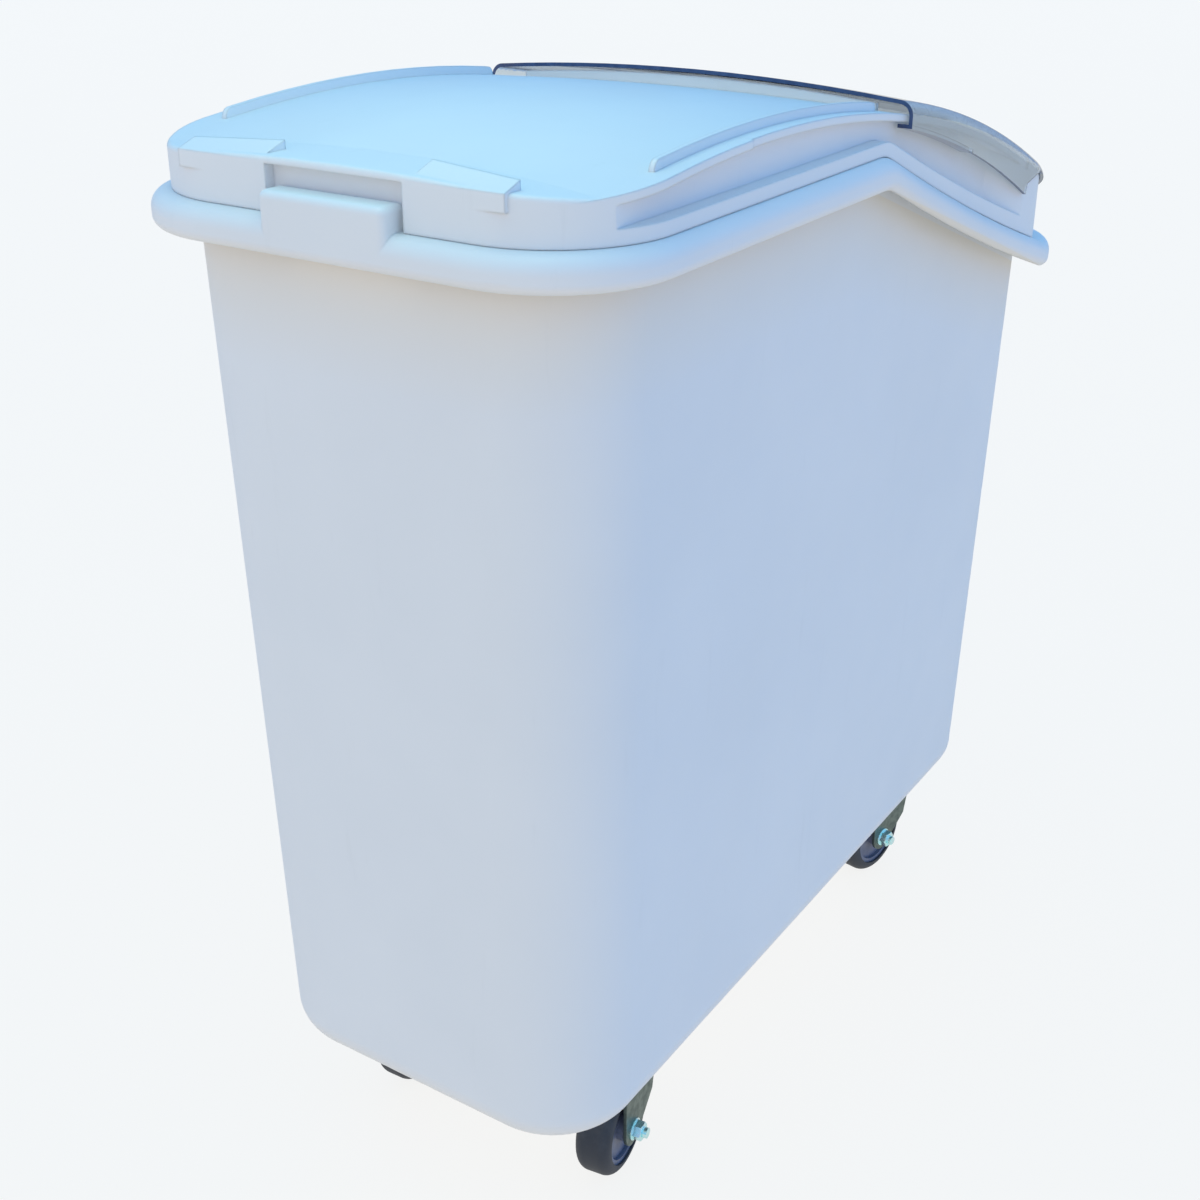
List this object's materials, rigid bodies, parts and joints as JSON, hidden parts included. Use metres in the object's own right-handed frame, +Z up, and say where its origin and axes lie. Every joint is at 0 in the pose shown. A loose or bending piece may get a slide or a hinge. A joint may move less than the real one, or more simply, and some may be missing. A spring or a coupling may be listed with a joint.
{
  "type": "pet food bin",
  "caption": "Slant-top plastic food bin on swivel casters, with a lift-off lid and a clear front cover that slides back over the lid's rear half.",
  "frame": {"origin": "on the floor, centred under the tub's rim", "axes": "+X from the rear end, with the finger pocket, to the front end under the clear cover; +Z up"},
  "size_m": [0.744, 0.3516, 0.7624],
  "materials": {
    "white_polyethylene": "semi-matte moulded polyethylene, opaque white",
    "clear_polycarbonate": "clear polished polycarbonate, dark blue where it is seen edge on",
    "zinc_sheet": "dull zinc-plated pressed steel",
    "zinc_fasteners": "bright blue-passivated zinc plating",
    "bearing_steel": "polished steel",
    "nylon": "natural nylon",
    "navy_plastic": "moulded dark navy plastic",
    "tyre_rubber": "dark slate grey non-marking rubber"
  },
  "bodies": {
    "tub": {"bin_body": "white_polyethylene", "mounting_bolts": "zinc_fasteners", "mounting_washers": "zinc_fasteners", "mounting_nuts": "zinc_fasteners", "rear_right_plate": "zinc_sheet", "rear_right_kingpin": "zinc_sheet", "rear_left_plate": "zinc_sheet", "rear_left_kingpin": "zinc_sheet", "front_right_plate": "zinc_sheet", "front_right_kingpin": "zinc_sheet", "front_left_plate": "zinc_sheet", "front_left_kingpin": "zinc_sheet"},
    "lid": {"lid": "white_polyethylene"},
    "cover": {"sliding_cover": "clear_polycarbonate"},
    "rear_right_swivel_frame": {"rear_right_fork": "zinc_sheet", "rear_right_race_cap": "zinc_sheet", "rear_right_ball_ring": "bearing_steel", "rear_right_axle_bolt": "zinc_fasteners", "rear_right_axle_nut": "zinc_fasteners", "rear_right_axle_sleeve": "bearing_steel"},
    "rear_right_wheel": {"rear_right_tyre": "tyre_rubber", "rear_right_wheel_core": "navy_plastic", "rear_right_wheel_bush": "nylon"},
    "rear_left_swivel_frame": {"rear_left_fork": "zinc_sheet", "rear_left_race_cap": "zinc_sheet", "rear_left_ball_ring": "bearing_steel", "rear_left_axle_bolt": "zinc_fasteners", "rear_left_axle_nut": "zinc_fasteners", "rear_left_axle_sleeve": "bearing_steel"},
    "rear_left_wheel": {"rear_left_tyre": "tyre_rubber", "rear_left_wheel_core": "navy_plastic", "rear_left_wheel_bush": "nylon"},
    "front_right_swivel_frame": {"front_right_fork": "zinc_sheet", "front_right_race_cap": "zinc_sheet", "front_right_ball_ring": "bearing_steel", "front_right_axle_bolt": "zinc_fasteners", "front_right_axle_nut": "zinc_fasteners", "front_right_axle_sleeve": "bearing_steel"},
    "front_right_wheel": {"front_right_tyre": "tyre_rubber", "front_right_wheel_core": "navy_plastic", "front_right_wheel_bush": "nylon"},
    "front_left_swivel_frame": {"front_left_fork": "zinc_sheet", "front_left_race_cap": "zinc_sheet", "front_left_ball_ring": "bearing_steel", "front_left_axle_bolt": "zinc_fasteners", "front_left_axle_nut": "zinc_fasteners", "front_left_axle_sleeve": "bearing_steel"},
    "front_left_wheel": {"front_left_tyre": "tyre_rubber", "front_left_wheel_core": "navy_plastic", "front_left_wheel_bush": "nylon"}
  },
  "joints": [
    {"name": "lid_lift", "type": "slide", "parent": "tub", "child": "lid", "axis": [0, 0, 1], "range_m": [0, 0.15]},
    {"name": "cover_slide", "type": "hinge", "parent": "lid", "child": "cover", "pos_m": [-0.1685, 0, -0.3598], "axis": [0, -1, 0], "range_deg": [0, 16.8]},
    {"name": "rear_right_swivel", "type": "hinge", "parent": "tub", "child": "rear_right_swivel_frame", "pos_m": [-0.206, -0.092, 0.0876], "axis": [0, 0, 1], "continuous": true},
    {"name": "rear_right_wheel_spin", "type": "hinge", "parent": "rear_right_swivel_frame", "child": "rear_right_wheel", "pos_m": [-0.22977, -0.09534, 0.0382], "axis": [-0.1392, 0.9903, 0], "continuous": true},
    {"name": "rear_left_swivel", "type": "hinge", "parent": "tub", "child": "rear_left_swivel_frame", "pos_m": [-0.206, 0.092, 0.0876], "axis": [0, 0, 1], "continuous": true},
    {"name": "rear_left_wheel_spin", "type": "hinge", "parent": "rear_left_swivel_frame", "child": "rear_left_wheel", "pos_m": [-0.22999, 0.09116, 0.0382], "axis": [-0.0349, 0.9994, 0], "continuous": true},
    {"name": "front_right_swivel", "type": "hinge", "parent": "tub", "child": "front_right_swivel_frame", "pos_m": [0.257, -0.092, 0.0876], "axis": [0, 0, 1], "continuous": true},
    {"name": "front_right_wheel_spin", "type": "hinge", "parent": "front_right_swivel_frame", "child": "front_right_wheel", "pos_m": [0.23336, -0.08783, 0.0382], "axis": [0.1736, 0.9848, 0], "continuous": true},
    {"name": "front_left_swivel", "type": "hinge", "parent": "tub", "child": "front_left_swivel_frame", "pos_m": [0.257, 0.092, 0.0876], "axis": [0, 0, 1], "continuous": true},
    {"name": "front_left_wheel_spin", "type": "hinge", "parent": "front_left_swivel_frame", "child": "front_left_wheel", "pos_m": [0.23313, 0.09451, 0.0382], "axis": [0.1045, 0.9945, 0], "continuous": true}
  ]
}
